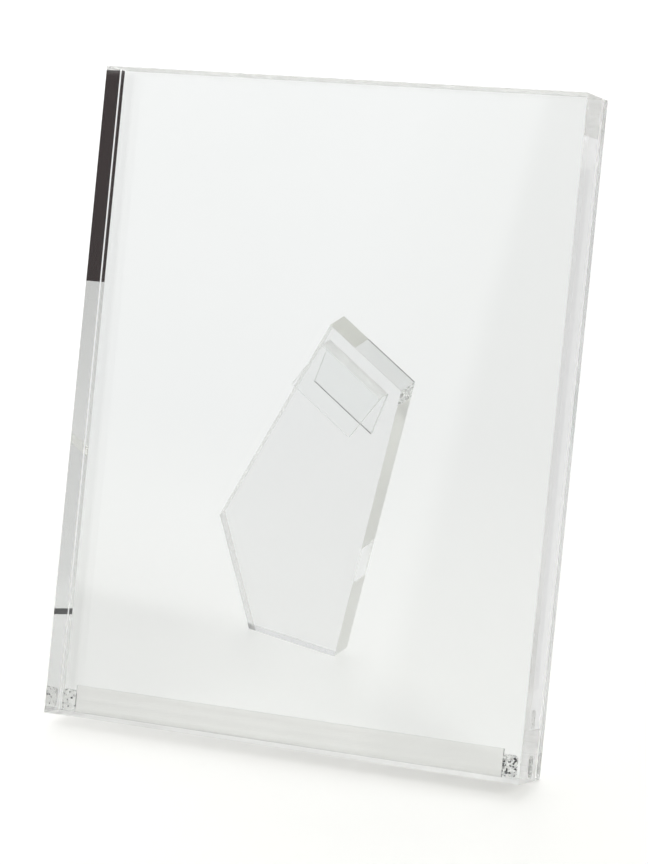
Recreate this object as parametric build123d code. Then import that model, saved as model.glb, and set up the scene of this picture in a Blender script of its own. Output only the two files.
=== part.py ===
from build123d import *

import os
from math import cos, radians, sin, tan

# Acrylic block frame: a thick clear front block and a thin clear back panel with a slot for a
# picture between them, held apart by a strip and two bond pads in the bottom of the slot, standing
# on a clear leg plate that a bent bracket bonds to the panel. Millimetres. +X is right as seen from
# the front, +Y is back, +Z is up.
# The origin is the middle of the edge that the frame stands on.

# Sheets
frame_width = 203.2
frame_height = 262.0
front_thickness = 19.4
slot_gap = 1.0
back_thickness = 4.9
edge_break = 0.4

# Lean from upright when it stands tall, and when it stands on its left side
lean_tall = 14.24
lean_wide = 11.3

# Strip in the bottom of the slot, which the picture stands on, free of both sheets by a film of air
strip_height = 11.4
strip_film = 0.05

# Pads that bond the sheets and the strip's ends together near the bottom corners
pad_width = 5.8
pad_height = 8.4
pad_corner = 1.5
pad_rise = 1.0
left_pad_inset = 4.5
right_pad_inset = 8.5

# Leg plate: where its top front edge meets the panel, and how it turns and spreads from there
leg_thickness = 8.0
leg_across = 16.0
leg_up = 155.4
leg_turn = 35.4
leg_spread = 38.4
leg_top_width = 40.0
leg_flare = 6.84
leg_clearance = 0.3

# Bent bracket between panel and leg: its two flaps end this far from the leg's top edge
bracket_width = 32.4
bracket_shift = -0.8
bracket_thickness = 1.0
bracket_bend = 3.0
bracket_panel_end = 28.5
bracket_leg_end = 32.8

turn = radians(leg_turn)
spread = radians(leg_spread)
tall = radians(lean_tall)
wide = radians(lean_wide)
flare = tan(radians(leg_flare))

# Upright working frame: Y is 0 on the panel's back face, Z is 0 on the bottom edge.
slot_back = -back_thickness
slot_front = slot_back - slot_gap
leg_root = Vector(leg_across, 0, leg_up)
leg_side = Vector(cos(turn), 0, -sin(turn))
leg_axis = Vector(-sin(turn), 0, -cos(turn))
leg_normal = leg_axis * -sin(spread) + Vector(0, cos(spread), 0)


def sheet(thickness, back_face):
    """A clear sheet of the frame's outline with all its edges broken."""
    centre_y = back_face - thickness / 2
    block = Pos(0, centre_y, frame_height / 2) * Box(frame_width, thickness, frame_height)
    return chamfer(block.edges(), edge_break)


def strip(left_end, right_end):
    """The thin clear strip between the two pads, flat along the bottom of the slot."""
    centre = Pos((left_end + right_end) / 2, (slot_front + slot_back) / 2, (edge_break + strip_height) / 2)
    return centre * Box(right_end - left_end, slot_gap - 2 * strip_film, strip_height - edge_break)


def corner_pad(across):
    """A bond pad with rounded corners that fills the slot at this place along the bottom."""
    centre = Vector(across, slot_front, pad_rise + pad_height / 2)
    seat = Plane(origin=centre, x_dir=(1, 0, 0), z_dir=(0, 1, 0))
    return extrude(seat * RectangleRounded(pad_width, pad_height, pad_corner), slot_gap)


def floor_line(reach, lean, across_slope, down_slope):
    """Where the leg's front face meets the floor, as (offset, slope) of down = offset + slope * across."""
    rate = down_slope * cos(spread) + sin(spread) * tan(lean)
    return (reach - edge_break * tan(lean)) / rate, across_slope / rate


def leg_outline():
    """The leg's five corners, as (across, down) on its front face."""
    tall_foot = floor_line(leg_up, tall, -sin(turn), cos(turn))
    wide_foot = floor_line(leg_across + frame_width / 2, wide, cos(turn), sin(turn))
    half_top = leg_top_width / 2
    top = leg_clearance / sin(spread)
    right = (half_top + flare * tall_foot[0]) / (1 - flare * tall_foot[1])
    left = -(half_top + flare * wide_foot[0]) / (1 + flare * wide_foot[1])
    tip = (wide_foot[0] - tall_foot[0]) / (tall_foot[1] - wide_foot[1])
    return [
        (-half_top - flare * top, top),
        (half_top + flare * top, top),
        (right, tall_foot[0] + tall_foot[1] * right),
        (tip, tall_foot[0] + tall_foot[1] * tip),
        (left, wide_foot[0] + wide_foot[1] * left),
    ]


def leg():
    """The flat leg plate, square cut, with one foot edge for each way that the frame stands."""
    front = Plane(origin=leg_root, x_dir=leg_side, z_dir=leg_normal)
    return extrude(front * make_face(Polyline(leg_outline(), close=True)), leg_thickness)


def bracket():
    """The thin strip bent to the leg's angle, with one flap bonded to the panel and one to the leg."""
    half = bracket_thickness / 2
    corner = half / sin(spread / 2)
    middle = FilletPolyline(
        (bracket_panel_end, half),
        (corner * cos(spread / 2), corner * sin(spread / 2)),
        (bracket_leg_end * cos(spread) + half * sin(spread), bracket_leg_end * sin(spread) - half * cos(spread)),
        radius=bracket_bend - half,
    )
    start = leg_root + leg_side * (bracket_shift - bracket_width / 2)
    section = Plane(origin=start, x_dir=leg_axis, z_dir=leg_side)
    return extrude(section * trace(middle, bracket_thickness), bracket_width)


left_pad = left_pad_inset - frame_width / 2
right_pad = frame_width / 2 - right_pad_inset

nodes = {
    "front_block": sheet(front_thickness, slot_front),
    "back_panel": sheet(back_thickness, 0),
    "slot_strip": strip(left_pad + pad_width / 2, right_pad - pad_width / 2),
    "corner_pad_left": corner_pad(left_pad),
    "corner_pad_right": corner_pad(right_pad),
    "leg_bracket": bracket(),
    "leg_plate": leg(),
}

# The frame leans back on the lower corner of the panel's broken edge until the leg meets the floor.
standing = Rot(-lean_tall, 0, 0) * Pos(0, edge_break, 0)

os.makedirs("parts", exist_ok=True)
for name, shape in nodes.items():
    export_step(standing * shape, f"parts/{name}.step")
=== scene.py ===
from math import cos, radians, sin, tan

import bpy
from mathutils import Matrix, Vector


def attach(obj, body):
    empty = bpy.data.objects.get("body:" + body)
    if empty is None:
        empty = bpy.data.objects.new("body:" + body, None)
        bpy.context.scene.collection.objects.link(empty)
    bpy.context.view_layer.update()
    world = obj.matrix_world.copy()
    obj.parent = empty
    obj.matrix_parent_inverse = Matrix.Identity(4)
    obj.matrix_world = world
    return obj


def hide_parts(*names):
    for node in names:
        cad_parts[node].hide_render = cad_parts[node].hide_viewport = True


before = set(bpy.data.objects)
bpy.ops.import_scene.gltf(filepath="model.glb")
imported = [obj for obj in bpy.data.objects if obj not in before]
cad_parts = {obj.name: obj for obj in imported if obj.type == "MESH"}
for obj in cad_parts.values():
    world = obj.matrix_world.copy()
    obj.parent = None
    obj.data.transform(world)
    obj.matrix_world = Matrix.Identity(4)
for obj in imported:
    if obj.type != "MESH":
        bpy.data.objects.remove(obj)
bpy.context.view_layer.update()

# Front block. The thick slab of clear cast acrylic in front of the picture, sawn to size, with polished
# faces, a right side tinted greyer as painted shade, a satin top end and a milled bottom end. Its arrises
# are broken by a hair, and only the two corner pads are bonded to it.
WIDTH = 0.2032
HEIGHT = 0.262
BACK_THICKNESS = 0.0049
SLOT_GAP = 0.001
FRONT_THICKNESS = 0.0194
EDGE_BREAK = 0.0004
EDGE_TRIM = 0.0001
ARRIS = 0.00006
ARRIS_SEGMENTS = 2
LEAN = radians(14.24)
STANDING = Matrix.Rotation(-LEAN, 4, "X") @ Matrix.Translation((0, EDGE_BREAK, 0))
ACRYLIC_IOR = 1.49
CAST_SCALE = 14.0
CAST_DETAIL = 2.0
SMEAR_SCALE = 90.0
SMEAR_DETAIL = 4.0
RIPPLE_HEIGHT = 0.001
END_TILT = 0.2
SQUARE_ON = 0.9


def slab(name, low, high):
    """A new box between two corners of the upright frame, which has the panel's back face at Y 0."""
    bpy.ops.object.select_all(action="DESELECT")
    low, high = Vector(low), Vector(high)
    bpy.ops.mesh.primitive_cube_add(size=1, location=(low + high) / 2, scale=high - low)
    piece = bpy.context.object
    piece.name = name
    bpy.ops.object.transform_apply(location=True, rotation=True, scale=True)
    return piece


def break_edges(piece):
    """Rounds every sharp edge of a piece by a hair, as a polishing wheel leaves it."""
    rounding = piece.modifiers.new("arris", "BEVEL")
    rounding.width = ARRIS
    rounding.segments = ARRIS_SEGMENTS
    rounding.limit_method = "ANGLE"
    bpy.ops.object.modifier_apply(modifier=rounding.name)


def stand(piece, node):
    """Leans a finished piece back as the frame stands, and lets it take its node's place."""
    bpy.ops.object.select_all(action="DESELECT")
    piece.select_set(True)
    bpy.context.view_layer.objects.active = piece
    piece.matrix_world = STANDING
    bpy.ops.object.transform_apply(location=True, rotation=True, scale=True)
    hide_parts(node)
    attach(piece, "root")


class Wire:
    """A socket of a node tree, with arithmetic that adds Math nodes."""

    def __init__(self, tree, socket=None):
        self.tree = tree
        self.socket = socket

    def add(self, kind, settings=None, inputs=None, out=0):
        """Adds any node: its settings first, then the values or links of its sockets."""
        node = self.tree.nodes.new(kind)
        for name, value in (settings or {}).items():
            setattr(node, name, value)
        for key, value in (inputs or {}).items():
            if isinstance(value, Wire):
                self.tree.links.new(value.socket, node.inputs[key])
            else:
                node.inputs[key].default_value = value
        return Wire(self.tree, node.outputs[out]) if node.outputs else None

    def math(self, operation, first, second):
        return self.add("ShaderNodeMath", {"operation": operation}, {0: first, 1: second})

    def __add__(self, other):
        return self.math("ADD", self, other)

    def __sub__(self, other):
        return self.math("SUBTRACT", self, other)

    def __rsub__(self, other):
        return self.math("SUBTRACT", other, self)

    def __mul__(self, other):
        return self.math("MULTIPLY", self, other)

    __radd__ = __add__
    __rmul__ = __mul__


def material_tree(name):
    """A new material with an empty tree, and a wire to build it from."""
    material = bpy.data.materials.new(name)
    material.use_nodes = True
    material.node_tree.nodes.clear()
    return material, Wire(material.node_tree)


def blend(here, share, first, second):
    """A colour that runs from a first to a second one."""
    return here.add("ShaderNodeMix", {"data_type": "RGBA"}, {"Factor": share, 6: first, 7: second}, out=2)


def clear_acrylic(name, pale, deep, haze, ripple, dullness=0.0, clearness=1.0, grain=(1, 1, 1)):
    """Clear cast acrylic: a faint cast that drifts, a trace of haze and a cast sheet's gentle ripple."""
    material, here = material_tree(name)
    where = here.add("ShaderNodeTexCoord", out="Object")
    place = here.add("ShaderNodeVectorMath", {"operation": "MULTIPLY"}, {0: where, 1: grain})
    drift, smear = (
        here.add("ShaderNodeTexNoise", inputs={"Vector": place, "Scale": scale, "Detail": detail}, out="Fac")
        for scale, detail in ((CAST_SCALE, CAST_DETAIL), (SMEAR_SCALE, SMEAR_DETAIL))
    )
    relief = here.add(
        "ShaderNodeBump", inputs={"Height": drift, "Strength": ripple, "Distance": RIPPLE_HEIGHT}
    )
    surface = here.add("ShaderNodeBsdfPrincipled", inputs={
        "Base Color": blend(here, drift, pale, deep),
        "Roughness": smear * haze + dullness,
        "IOR": ACRYLIC_IOR,
        "Transmission Weight": clearness,
        "Normal": relief,
    })
    here.add("ShaderNodeOutputMaterial", inputs={"Surface": surface})
    return material


def finish_faces(piece, material, test):
    """Gives the faces of a piece that pass a test a finish of their own."""
    piece.data.materials.append(material)
    for face in piece.data.polygons:
        if test(face):
            face.material_index = len(piece.data.materials) - 1


def is_top_end(face):
    """Whether a face is the top end of an upright sheet, or an arris of it."""
    return face.normal.z > END_TILT


def is_bottom_end(face):
    """Whether a face is the bottom end of an upright sheet, or an arris of it."""
    return face.normal.z < -END_TILT


def is_right_side(face):
    """Whether a face is the right side of an upright sheet."""
    return face.normal.x > SQUARE_ON


slot_front = -BACK_THICKNESS - SLOT_GAP
front_block = slab(
    "front_block_clear",
    (-WIDTH / 2, slot_front - FRONT_THICKNESS + EDGE_TRIM, EDGE_TRIM),
    (WIDTH / 2, slot_front, HEIGHT - EDGE_TRIM),
)
break_edges(front_block)
front_block.data.materials.append(clear_acrylic(
    "cast acrylic block", (0.985, 0.99, 0.988, 1), (0.97, 0.978, 0.976, 1), haze=0.004, ripple=0.002,
))
milled_end = clear_acrylic(
    "milled acrylic end", (0.99, 0.99, 0.98, 1), (0.97, 0.97, 0.955, 1),
    haze=0.1, ripple=0.05, dullness=0.3, clearness=0.18,
)
satin_end = clear_acrylic(
    "satin acrylic end", (0.93, 0.93, 0.92, 1), (0.9, 0.9, 0.885, 1),
    haze=0.1, ripple=0.05, dullness=0.8, clearness=0.5,
)
# The right side's grey tint is painted shade: it darkens that side beyond the acrylic's own tint.
shade_painted_side = clear_acrylic(
    "acrylic side with painted shade", (0.82, 0.825, 0.82, 1), (0.76, 0.765, 0.76, 1), haze=0.02, ripple=0.01,
)
finish_faces(front_block, milled_end, is_bottom_end)
finish_faces(front_block, satin_end, is_top_end)
finish_faces(front_block, shade_painted_side, is_right_side)
stand(front_block, "front_block")

# Back panel. The thin clear sheet behind the picture, cut to the same outline as the block, bonded to it by
# the corner pads and carrying the leg. The frame stands on its lower back edge, which is broken wider than
# the others, and its right side is brushed.
TOUCH = 0.0001


def bevel_edges(piece, width, segments, test):
    """Bevels the edges of a piece whose two ends pass a test."""
    bpy.ops.object.mode_set(mode="EDIT")
    bpy.ops.mesh.select_mode(type="EDGE")
    bpy.ops.mesh.select_all(action="DESELECT")
    bpy.ops.object.mode_set(mode="OBJECT")
    for edge in piece.data.edges:
        start, end = (piece.data.vertices[index].co for index in edge.vertices)
        edge.select = test(start, end)
    bpy.ops.object.mode_set(mode="EDIT")
    bpy.ops.mesh.bevel(offset=width, segments=segments)
    bpy.ops.object.mode_set(mode="OBJECT")


def is_standing_edge(start, end):
    """Whether an edge of the upright panel is the one that the frame stands on."""
    return max(abs(start.y), abs(start.z), abs(end.y), abs(end.z)) < TOUCH


back_panel = slab("back_panel_clear", (-WIDTH / 2, -BACK_THICKNESS, 0), (WIDTH / 2, 0, HEIGHT))
bevel_edges(back_panel, EDGE_BREAK, segments=1, test=is_standing_edge)
break_edges(back_panel)
back_panel.data.materials.append(clear_acrylic(
    "cast acrylic sheet", (0.98, 0.986, 0.984, 1), (0.965, 0.973, 0.971, 1), haze=0.006, ripple=0.002,
))
brushed_side = clear_acrylic(
    "brushed acrylic side", (0.96, 0.97, 0.968, 1), (0.93, 0.94, 0.938, 1),
    haze=0.1, ripple=0.02, dullness=0.15,
)
finish_faces(back_panel, milled_end, is_bottom_end)
finish_faces(back_panel, satin_end, is_top_end)
finish_faces(back_panel, brushed_side, is_right_side)
stand(back_panel, "back_panel")

# Slot strip. A thin, faintly grey clear strip, streaked lengthwise, that stands in the bottom of the slot
# and carries the picture; its grey is partly its own tint and partly painted shade, and its streaks are
# painted light lines. It is loose but for its ends, which the corner pads hold.
STRIP_HEIGHT = 0.0114
STRIP_FILM = 0.00005
STRIP_PAINTED_LINES = (0.3, 1, 25)
PAD_WIDTH = 0.0058
LEFT_PAD_INSET = 0.0045
RIGHT_PAD_INSET = 0.0085

left_pad = LEFT_PAD_INSET - WIDTH / 2
right_pad = WIDTH / 2 - RIGHT_PAD_INSET
slot_strip = slab(
    "slot_strip_clear",
    (left_pad + PAD_WIDTH / 2, slot_front + STRIP_FILM, EDGE_BREAK),
    (right_pad - PAD_WIDTH / 2, -BACK_THICKNESS - STRIP_FILM, STRIP_HEIGHT),
)
# The strip's grey is partly its own tint and partly painted shade; its streaks are painted light lines.
slot_strip.data.materials.append(clear_acrylic(
    "grey acrylic strip with painted shade", (0.955, 0.95, 0.94, 1), (0.815, 0.81, 0.795, 1),
    haze=0.02, ripple=0.02, grain=STRIP_PAINTED_LINES,
))
stand(slot_strip, "slot_strip")

# Corner pads. Small dabs of clear adhesive full of bubbles, squeezed flat in the slot near the bottom
# corners, which join the two sheets and hold the ends of the strip. The right one has the more bubbles, and
# the bubbles' black and white are painted reflections.
PAD_HEIGHT = 0.0084
PAD_CORNER = 0.0015
PAD_SEGMENTS = 6
PAD_RISE = 0.001
BOND_DEPTH = 0.00003
BOND_IOR = 1.47
BOND_COLOUR = (0.96, 0.96, 0.95, 1)
BOND_DULLNESS = 0.02
BUBBLE_SCALE = 1500.0
BUBBLE_PAINTED_DARK = (0.015, 0.015, 0.015, 1)
BUBBLE_PAINTED_GLINT = (0.95, 0.95, 0.94, 1)
BUBBLE_DULLNESS = 0.2
BUBBLE_VARIETY = 0.3
SAME_WAY = 0.99


def bubbly_bond(name, filled, dark, white):
    """Set adhesive: clear, with bubbles whose black and white are painted reflections where the light turns
    back.
    """
    material, here = material_tree(name)
    place = here.add("ShaderNodeTexCoord", out="Object")
    cells = here.add("ShaderNodeTexVoronoi", inputs={"Vector": place, "Scale": BUBBLE_SCALE}, out="Color")
    shade = here.add("ShaderNodeSeparateColor", inputs={"Color": cells}, out="Red")
    pick = here.add("ShaderNodeSeparateColor", inputs={"Color": cells}, out="Green")
    grey = here.add("ShaderNodeMapRange", inputs={"Value": shade, "From Min": dark, "From Max": white})
    # The bubbles' black and white are painted reflections of dark and bright surroundings.
    bubble = here.add("ShaderNodeBsdfPrincipled", inputs={
        "Base Color": blend(here, grey, BUBBLE_PAINTED_DARK, BUBBLE_PAINTED_GLINT),
        "Roughness": BUBBLE_DULLNESS + BUBBLE_VARIETY * shade,
    })
    glue = here.add("ShaderNodeBsdfPrincipled", inputs={
        "Base Color": BOND_COLOUR,
        "Roughness": BOND_DULLNESS * shade,
        "IOR": BOND_IOR,
        "Transmission Weight": 1.0,
    })
    is_bubble = here.math("LESS_THAN", pick, filled)
    speckled = here.add("ShaderNodeMixShader", inputs={0: is_bubble, 1: glue, 2: bubble})
    here.add("ShaderNodeOutputMaterial", inputs={"Surface": speckled})
    return material


def runs_through(start, end):
    """Whether an edge runs from the front to the back of the frame."""
    return abs((end - start).normalized().y) > SAME_WAY


sparse_bubbly_bond = bubbly_bond("sparse bubbly bond", filled=0.14, dark=0.05, white=0.35)
dense_bubbly_bond = bubbly_bond("dense bubbly bond", filled=0.5, dark=0.2, white=0.4)
for across, hand, bond in ((left_pad, "left", sparse_bubbly_bond), (right_pad, "right", dense_bubbly_bond)):
    pad = slab(
        f"corner_pad_{hand}_bond",
        (across - PAD_WIDTH / 2, slot_front - BOND_DEPTH, PAD_RISE),
        (across + PAD_WIDTH / 2, BOND_DEPTH - BACK_THICKNESS, PAD_RISE + PAD_HEIGHT),
    )
    bevel_edges(pad, PAD_CORNER, segments=PAD_SEGMENTS, test=runs_through)
    pad.data.materials.append(bond)
    stand(pad, f"corner_pad_{hand}")

# Leg plate. A flat five-sided plate of clear acrylic with sawn edges, which runs down and back from the
# panel towards one bottom corner, with a foot edge for each way that the frame can stand. Its right edge is
# coloured darker but for one clear stretch, and its planed top end has painted shade at the left and a
# near-black line along the back.
LEG_BLANK = 0.24
LEG_THICKNESS = 0.008
LEG_ACROSS = 0.016
LEG_UP = 0.1554
LEG_TURN = radians(35.4)
LEG_SPREAD = radians(38.4)
LEG_TOP_WIDTH = 0.04
LEG_FLARE = radians(6.84)
LEG_CLEARANCE = 0.0003
LEAN_WIDE = radians(11.3)
BUBBLES_END = 0.009
CLEAR_START = 0.095
CLEAR_END = 0.117
SHADE_PAINTED_UNTIL = -0.006
DARK_LINE_START = 0.0075
EDGE_ON = 0.5

leg_side = Vector((cos(LEG_TURN), 0, -sin(LEG_TURN)))
panel_axis = Vector((-sin(LEG_TURN), 0, -cos(LEG_TURN)))
leg_normal = -sin(LEG_SPREAD) * panel_axis + Vector((0, cos(LEG_SPREAD), 0))
leg_axis = leg_normal.cross(leg_side)
leg_root = Vector((LEG_ACROSS, 0, LEG_UP))


def seat(piece, side, down, out):
    """Moves a piece made at the origin to the leg's root, with its X, Y and Z along the three directions."""
    piece.matrix_world = Matrix.Translation(leg_root) @ Matrix((side, down, out)).transposed().to_4x4()
    bpy.ops.object.transform_apply(location=True, rotation=True, scale=True)


def cut(piece, point, outward):
    """Saws a piece off at a plane and keeps the inner side, with the cut closed."""
    bpy.ops.object.mode_set(mode="EDIT")
    bpy.ops.mesh.select_all(action="SELECT")
    bpy.ops.mesh.bisect(plane_co=point, plane_no=outward, use_fill=True, clear_outer=True)
    bpy.ops.object.mode_set(mode="OBJECT")


def along(face, axis):
    """How far a face lies along an axis of the leg, from the middle of the leg's top front edge."""
    return (face.center - leg_root).dot(axis)


def is_leg_top(face):
    """Whether a face is part of the leg's top end."""
    return face.normal.dot(leg_axis) < -SQUARE_ON


def is_leg_right(face):
    """Whether a face is part of the leg's right edge."""
    return face.normal.dot(leg_side) > SQUARE_ON


def is_clear_stretch(face):
    """Whether a face is the stretch of the leg's right edge that is left clear."""
    return is_leg_right(face) and CLEAR_START < along(face, leg_axis) < CLEAR_END


def is_sawn(face):
    """Whether a face is an edge of the leg as the saw left it, which the foot for standing tall is not."""
    is_edge = abs(face.normal.dot(leg_normal)) < EDGE_ON
    return is_edge and face.normal.dot(tall_edge) < SAME_WAY and not is_clear_stretch(face)


def is_shade_painted(face):
    """Whether a face is the left part of the leg's top end, which has painted shade."""
    return is_leg_top(face) and along(face, leg_side) < SHADE_PAINTED_UNTIL


def is_dark_back_line(face):
    """Whether a face is the line along the back of the leg's top end, right of the part with painted shade.
    """
    return is_leg_top(face) and not is_shade_painted(face) and along(face, leg_normal) > DARK_LINE_START


leg_plate = slab(
    "leg_plate_clear",
    (-LEG_BLANK, LEG_CLEARANCE / sin(LEG_SPREAD), 0),
    (LEG_BLANK, LEG_BLANK, LEG_THICKNESS),
)
for side in (-1, 1):
    cut(leg_plate, (side * LEG_TOP_WIDTH / 2, 0, 0), (side * cos(LEG_FLARE), -sin(LEG_FLARE), 0))
tall_rate = cos(LEG_SPREAD) * cos(LEG_TURN) + sin(LEG_SPREAD) * tan(LEAN)
tall_foot = (LEG_UP - EDGE_BREAK * tan(LEAN)) / tall_rate
tall_edge = (sin(LEG_TURN) * leg_side + tall_rate * leg_axis).normalized()
cut(leg_plate, (0, tall_foot, 0), (sin(LEG_TURN), tall_rate, 0))
wide_rate = cos(LEG_SPREAD) * sin(LEG_TURN) + sin(LEG_SPREAD) * tan(LEAN_WIDE)
wide_foot = (LEG_ACROSS + WIDTH / 2 - EDGE_BREAK * tan(LEAN_WIDE)) / wide_rate
cut(leg_plate, (0, wide_foot, 0), (-cos(LEG_TURN), wide_rate, 0))
seat(leg_plate, leg_side, leg_axis, leg_normal)
break_edges(leg_plate)
leg_plate.data.materials.append(clear_acrylic(
    "cut acrylic plate", (0.92, 0.921, 0.925, 1), (0.89, 0.891, 0.895, 1), haze=0.01, ripple=0.02,
))
bpy.ops.object.mode_set(mode="EDIT")
for place, axis in (
    (BUBBLES_END, leg_axis),
    (CLEAR_START, leg_axis),
    (CLEAR_END, leg_axis),
    (SHADE_PAINTED_UNTIL, leg_side),
    (DARK_LINE_START, leg_normal),
):
    bpy.ops.mesh.select_all(action="SELECT")
    bpy.ops.mesh.bisect(plane_co=leg_root + place * axis, plane_no=axis)
bpy.ops.object.mode_set(mode="OBJECT")
sawn_edge = clear_acrylic(
    "sawn acrylic edge", (0.99, 0.99, 0.97, 1), (0.93, 0.93, 0.9, 1),
    haze=0.1, ripple=0.05, dullness=0.25,
)
# The right edge is coloured darker, but for one clear stretch.
darkened_edge = clear_acrylic(
    "darkened acrylic edge", (0.93, 0.93, 0.88, 1), (0.78, 0.78, 0.73, 1),
    haze=0.1, ripple=0.05, dullness=0.25, clearness=0.6,
)
planed_end = clear_acrylic(
    "planed acrylic end", (1, 1, 0.99, 1), (0.98, 0.98, 0.965, 1),
    haze=0.1, ripple=0.05, dullness=0.2, clearness=0.0,
)
# The left part of the top end is tinted darker as painted shade.
shade_painted_end = clear_acrylic(
    "acrylic end with painted shade", (0.86, 0.86, 0.79, 1), (0.74, 0.74, 0.68, 1),
    haze=0.1, ripple=0.05, dullness=0.2, clearness=0.1,
)
# A near-black line along the back of the top end, right of the part with painted shade.
dark_back_line = clear_acrylic(
    "dark acrylic back line", (0.2, 0.2, 0.19, 1), (0.08, 0.08, 0.07, 1),
    haze=0.1, ripple=0.05, dullness=0.3, clearness=0.2,
)
finish_faces(leg_plate, sawn_edge, is_sawn)
finish_faces(leg_plate, darkened_edge, lambda face: is_leg_right(face) and not is_clear_stretch(face))
finish_faces(leg_plate, dense_bubbly_bond, lambda face: is_leg_right(face) and along(face, leg_axis) < BUBBLES_END)
finish_faces(leg_plate, planed_end, is_leg_top)
finish_faces(leg_plate, shade_painted_end, is_shade_painted)
finish_faces(leg_plate, dark_back_line, is_dark_back_line)
stand(leg_plate, "leg_plate")

# Leg bracket. A thin strip of clear acrylic, bent warm to the leg's angle, with one flap bonded to the
# panel and one to the front of the leg. The bend is a little cloudy, the sides are frosted by the saw, and
# the end of the leg's flap is coloured near black.
BRACKET_WIDTH = 0.0324
BRACKET_SHIFT = -0.0008
BRACKET_THICKNESS = 0.001
BRACKET_BEND = 0.003
BRACKET_PANEL_END = 0.0285
BRACKET_LEG_END = 0.0328
BEND_STEPS = 14
ON_PLANE = 0.00002
FLAT = 0.999


def pick_faces(piece, point, normal):
    """Selects the faces of a piece that lie on a plane, and leaves it in edit mode."""
    bpy.ops.object.mode_set(mode="EDIT")
    bpy.ops.mesh.select_mode(type="FACE")
    bpy.ops.mesh.select_all(action="DESELECT")
    bpy.ops.object.mode_set(mode="OBJECT")
    for face in piece.data.polygons:
        off = (face.center - Vector(point)).dot(normal)
        face.select = abs(off) < ON_PLANE and face.normal.dot(normal) > SAME_WAY
    bpy.ops.object.mode_set(mode="EDIT")


def is_bend(face):
    """Whether a face of the bracket belongs to neither flap's flat."""
    return max(abs(face.normal.y), abs(face.normal.dot(leg_normal))) < FLAT


bend_start = BRACKET_BEND / tan(LEG_SPREAD / 2)
bracket = slab(
    "leg_bracket_clear",
    (BRACKET_SHIFT - BRACKET_WIDTH / 2, bend_start, -BOND_DEPTH),
    (BRACKET_SHIFT + BRACKET_WIDTH / 2, BRACKET_PANEL_END, BRACKET_THICKNESS),
)
pick_faces(bracket, (0, bend_start, 0), Vector((0, -1, 0)))
bpy.ops.mesh.spin(
    steps=BEND_STEPS,
    angle=radians(180) - LEG_SPREAD,
    center=(0, bend_start, BRACKET_BEND),
    axis=(1, 0, 0),
)
leg_run = Vector((0, cos(LEG_SPREAD), sin(LEG_SPREAD)))
bpy.ops.mesh.extrude_region_move(
    TRANSFORM_OT_translate={"value": (BRACKET_LEG_END - bend_start) * leg_run}
)
bpy.ops.mesh.select_all(action="SELECT")
bpy.ops.mesh.normals_make_consistent(inside=False)
bpy.ops.object.mode_set(mode="OBJECT")
seat(bracket, leg_side, panel_axis, leg_side.cross(panel_axis))
bracket.data.materials.append(clear_acrylic(
    "bent acrylic strip", (0.97, 0.976, 0.974, 1), (0.95, 0.958, 0.956, 1), haze=0.02, ripple=0.03,
))
warmed_bend = clear_acrylic(
    "warmed acrylic bend", (0.99, 0.99, 0.98, 1), (0.94, 0.945, 0.935, 1),
    haze=0.3, ripple=0.3, dullness=0.5, clearness=0.9,
)
frosted_side = clear_acrylic(
    "frosted strip side", (0.99, 0.99, 0.98, 1), (0.97, 0.97, 0.96, 1),
    haze=0.1, ripple=0.05, dullness=0.6, clearness=0.3,
)
# The end of the leg's flap is coloured near black.
black_flap_end = clear_acrylic(
    "black flap end", (0.1, 0.1, 0.095, 1), (0.06, 0.06, 0.055, 1),
    haze=0.1, ripple=0.05, dullness=0.3, clearness=0.0,
)
finish_faces(bracket, warmed_bend, is_bend)
finish_faces(bracket, frosted_side, lambda face: abs(face.normal.dot(leg_side)) > SAME_WAY)
finish_faces(bracket, black_flap_end, lambda face: along(face, leg_axis) > BRACKET_LEG_END - TOUCH)
stand(bracket, "leg_bracket")

# Floor. A plain white table top with a satin coat, which runs out of sight in every direction. Its glow
# paints light and shade: to the camera it is stronger at the left, where the coat is darker, which paints
# fill light into the shadows there, and it is warmer near the frame. Seen through the glass it paints a pool
# of light that is dimmer to the right and far off, light close behind the frame, shade in front of it and a
# shadow towards the near left corner.
FLOOR_REACH = 14.0
LIGHT_FALL = (0.955, 0.2965, 0)
CORNER_SHADOW_AIM = (0.267, 0.964, 0)
COAT_LEFT = (0.32, 0.32, 0.315, 1)
COAT_RIGHT = (0.55, 0.55, 0.535, 1)
COAT_LEVEL = 0.32
COAT_RISE = 0.23
COAT_ROUGHNESS = 0.3
COAT_IOR = 1.15
LIT_SHARE = 0.97
PAINTED_NEAR_WARMTH = (1, 1, 0.97, 1)
FAR_TINT = (0.995, 1, 1, 1)
GLOW_LEFT = 0.71
GLOW_FALL = 0.255


def ease(here, value, start, end, low, high):
    """A value that runs smoothly from low to high while another runs from start to end."""
    return here.add("ShaderNodeMapRange", {"interpolation_type": "SMOOTHSTEP"}, {
        "Value": value, "From Min": start, "From Max": end, "To Min": low, "To Max": high,
    })


def distance(here, place, direction):
    """How far a place, or the tip of an aim, lies in a direction."""
    return here.add(
        "ShaderNodeVectorMath", {"operation": "DOT_PRODUCT"}, {0: place, 1: direction}, out="Value"
    )


bpy.ops.object.select_all(action="DESELECT")
bpy.ops.mesh.primitive_plane_add(size=2 * FLOOR_REACH, location=(0, 0, 0))
floor = bpy.context.object
floor.name = "white_table"
floor_material, here = material_tree("white table")
seen, mirrored, through = (
    here.add("ShaderNodeLightPath", out=ray)
    for ray in ("Is Camera Ray", "Is Glossy Ray", "Is Transmission Ray")
)
place = here.add("ShaderNodeTexCoord", out="Object")
across = distance(here, place, LIGHT_FALL)
depth = here.add("ShaderNodeSeparateXYZ", inputs={0: place}, out="Y")
share = here.add("ShaderNodeMapRange", inputs={"Value": across, "From Min": -0.09, "From Max": 0.1})
far = here.add("ShaderNodeMapRange", inputs={"Value": depth, "From Min": 0.1, "From Max": 0.5})
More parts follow.
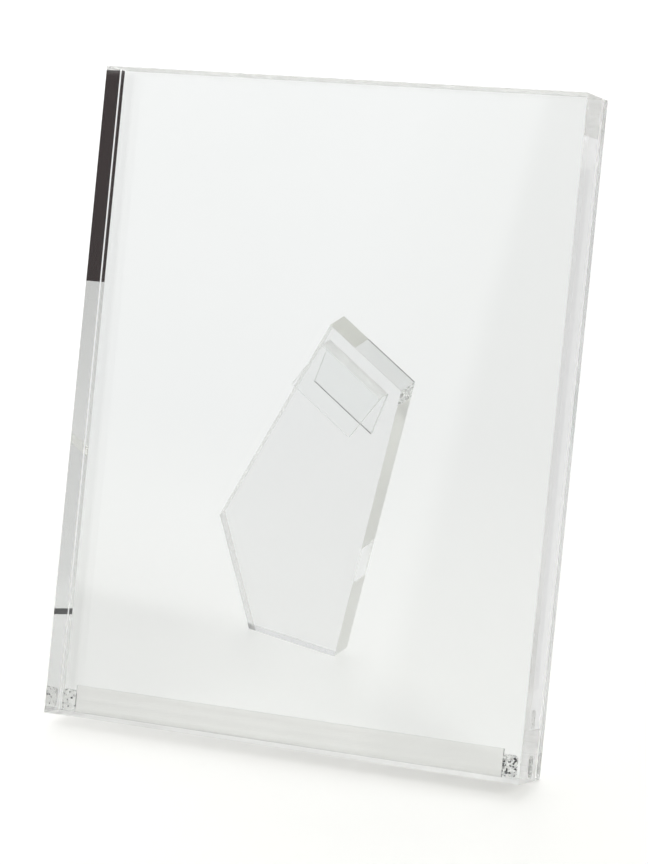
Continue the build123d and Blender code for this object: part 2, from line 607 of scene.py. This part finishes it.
# Painted light and shade on the table as seen through the glass: the pool of light, the falloff far off,
# light near the frame, shade in front of it and the shadow near the left corner.
painted_light_pool = ease(here, across, start=0.022, end=0.042, low=0.852, high=0.797)
painted_far_falloff = ease(here, across, start=0.15, end=0.6, low=0.0, high=0.08)
painted_near_light = ease(here, depth, start=0.12, end=0.5, low=0.03, high=-0.02)
front = ease(here, depth, start=-0.15, end=0.0, low=0.16, high=0.0)
painted_corner_shadow = ease(here, distance(here, place, CORNER_SHADOW_AIM), start=0.085, end=0.113, low=0.085, high=0.0)
leftward = ease(here, across, start=-0.08, end=0.0, low=1.0, high=0.0)
lit = LIT_SHARE * (COAT_LEVEL + COAT_RISE * share)
painted_glass_light = painted_light_pool + painted_near_light - painted_far_falloff - front - painted_corner_shadow * leftward - lit
in_glass = (1 - seen) * here.math("MAXIMUM", mirrored, through)
# The coat's colour and the glow to the camera change from left to right, painting fill light into the
# shadows at the left.
paint = here.add("ShaderNodeBsdfPrincipled", inputs={
    "Base Color": blend(here, share, COAT_LEFT, COAT_RIGHT),
    "Roughness": COAT_ROUGHNESS,
    "IOR": COAT_IOR,
})
glow = here.add("ShaderNodeEmission", inputs={
    "Color": blend(here, far, PAINTED_NEAR_WARMTH, FAR_TINT),
    "Strength": seen * (GLOW_LEFT - GLOW_FALL * share) + in_glass * painted_glass_light,
})
both = here.add("ShaderNodeAddShader", inputs={0: paint, 1: glow})
here.add("ShaderNodeOutputMaterial", inputs={"Surface": both})
floor.data.materials.append(floor_material)

# Flag. A dark card that stands on the table far behind the frame and beyond the right edge of the view,
# where the left side of the block mirrors it. It neither shades nor dims the table.
CARD_PLACE = (0.28, 0.8, 0.125)
CARD_WIDTH = 0.11
CARD_HEIGHT = 0.25
CARD_WEAVE = 40.0
CARD_PALE = (0.03, 0.009, 0.009, 1)
CARD_DEEP = (0.018, 0.006, 0.006, 1)

bpy.ops.object.select_all(action="DESELECT")
bpy.ops.mesh.primitive_plane_add(size=1, location=CARD_PLACE, rotation=(radians(90), 0, 0))
flag = bpy.context.object
flag.scale = (CARD_WIDTH, CARD_HEIGHT, 1)
flag.name = "dark_card"
flag_material, here = material_tree("dark card")
place = here.add("ShaderNodeTexCoord", out="Object")
weave = here.add("ShaderNodeTexNoise", inputs={"Vector": place, "Scale": CARD_WEAVE}, out="Fac")
card = here.add("ShaderNodeBsdfDiffuse", inputs={"Color": blend(here, weave, CARD_PALE, CARD_DEEP)})
here.add("ShaderNodeOutputMaterial", inputs={"Surface": card})
flag.data.materials.append(flag_material)
flag.visible_diffuse = False
flag.visible_shadow = False

# Light. A white room, bright on the left and dim on the right of an upright edge in front of the frame,
# with a pale wall behind. A wide soft lamp hangs overhead, a stronger one high behind, and a small key lamp
# stands at right in front.
ROOM_SIDE = (-0.985, 0.174, 0)
OVERHEAD_AIM = (-0.35, 0.0, 0.937)
BACK_AIM = (-0.09, 0.61, 0.787)
KEY_AIM = (0.692, -0.399, 0.602)

world = bpy.data.worlds.new("white room")
bpy.context.scene.world = world
world.use_nodes = True
world.node_tree.nodes.clear()
here = Wire(world.node_tree)
seen = here.add("ShaderNodeLightPath", out="Is Camera Ray")
aim = here.add("ShaderNodeTexCoord", out="Generated")
ahead = here.add("ShaderNodeSeparateXYZ", inputs={0: aim}, out="Y")
height = here.add("ShaderNodeSeparateXYZ", inputs={0: aim}, out="Z")
room = ease(here, distance(here, aim, ROOM_SIDE), start=-0.1, end=0.1, low=0.06, high=0.94)
ceiling = ease(here, height, start=0.35, end=0.8, low=1.0, high=0.5)
wall = ease(here, ahead, start=-0.1, end=0.4, low=0.0, high=0.5)
wall_top = ease(here, height, start=0.35, end=0.65, low=1.0, high=0.0)
overhead = ease(here, distance(here, aim, OVERHEAD_AIM), start=0.68, end=0.95, low=0.0, high=0.65)
back_lamp = ease(here, distance(here, aim, BACK_AIM), start=0.927, end=0.97, low=0.0, high=2.6)
key_lamp = ease(here, distance(here, aim, KEY_AIM), start=0.985, end=0.994, low=0.0, high=18.0)
walls = here.math("MAXIMUM", room * ceiling, wall * wall_top)
level = seen + (1 - seen) * (walls + overhead + back_lamp + key_lamp)
sky = here.add("ShaderNodeBackground", inputs={"Color": (1, 1, 1, 1), "Strength": level})
here.add("ShaderNodeOutputWorld", inputs={"Surface": sky})

# Camera. As far off, as high and as far round as the photograph was taken from, with enough bounces for
# light to find its way out of the thick glass.
CAMERA_LENS = 121.0
CAMERA_PLACE = (0.4455, -0.99541, 0.4040)
CAMERA_TURN = (radians(75.78), 0, radians(23.57))
BOUNCES = 96

camera_data = bpy.data.cameras.new("camera")
camera_data.lens = CAMERA_LENS
camera = bpy.data.objects.new("camera", camera_data)
camera.location = CAMERA_PLACE
camera.rotation_euler = CAMERA_TURN
bpy.context.scene.collection.objects.link(camera)
bpy.context.scene.camera = camera

scene = bpy.context.scene
scene.view_settings.view_transform = "Standard"
scene.cycles.max_bounces = BOUNCES
scene.cycles.transmission_bounces = BOUNCES
scene.cycles.glossy_bounces = BOUNCES
scene.cycles.blur_glossy = 0.0
